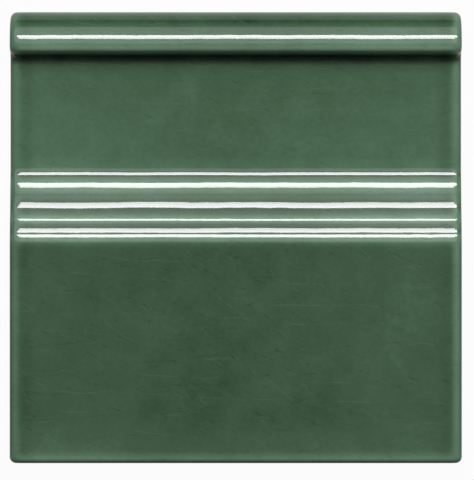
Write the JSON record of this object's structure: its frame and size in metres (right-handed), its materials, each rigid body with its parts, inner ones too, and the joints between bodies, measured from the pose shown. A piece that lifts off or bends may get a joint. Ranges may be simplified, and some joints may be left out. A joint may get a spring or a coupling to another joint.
{
  "type": "skirting tile",
  "caption": "Square glazed skirting tile with a rounded nose along the top, a recessed panel, stepped reeds and a plain plinth; finishes the foot of a tiled wall.",
  "frame": {"origin": "middle of the flat back, which lies on the floor", "axes": "+X along the skirting, +Y towards the rounded nose at the top of the tile, +Z out of the glazed face"},
  "size_m": [0.152, 0.152, 0.0155],
  "materials": {
    "glazed_earthenware": "gloss crackle glaze"
  },
  "bodies": {
    "root": {"skirting_tile": "glazed_earthenware"}
  },
  "joints": []
}
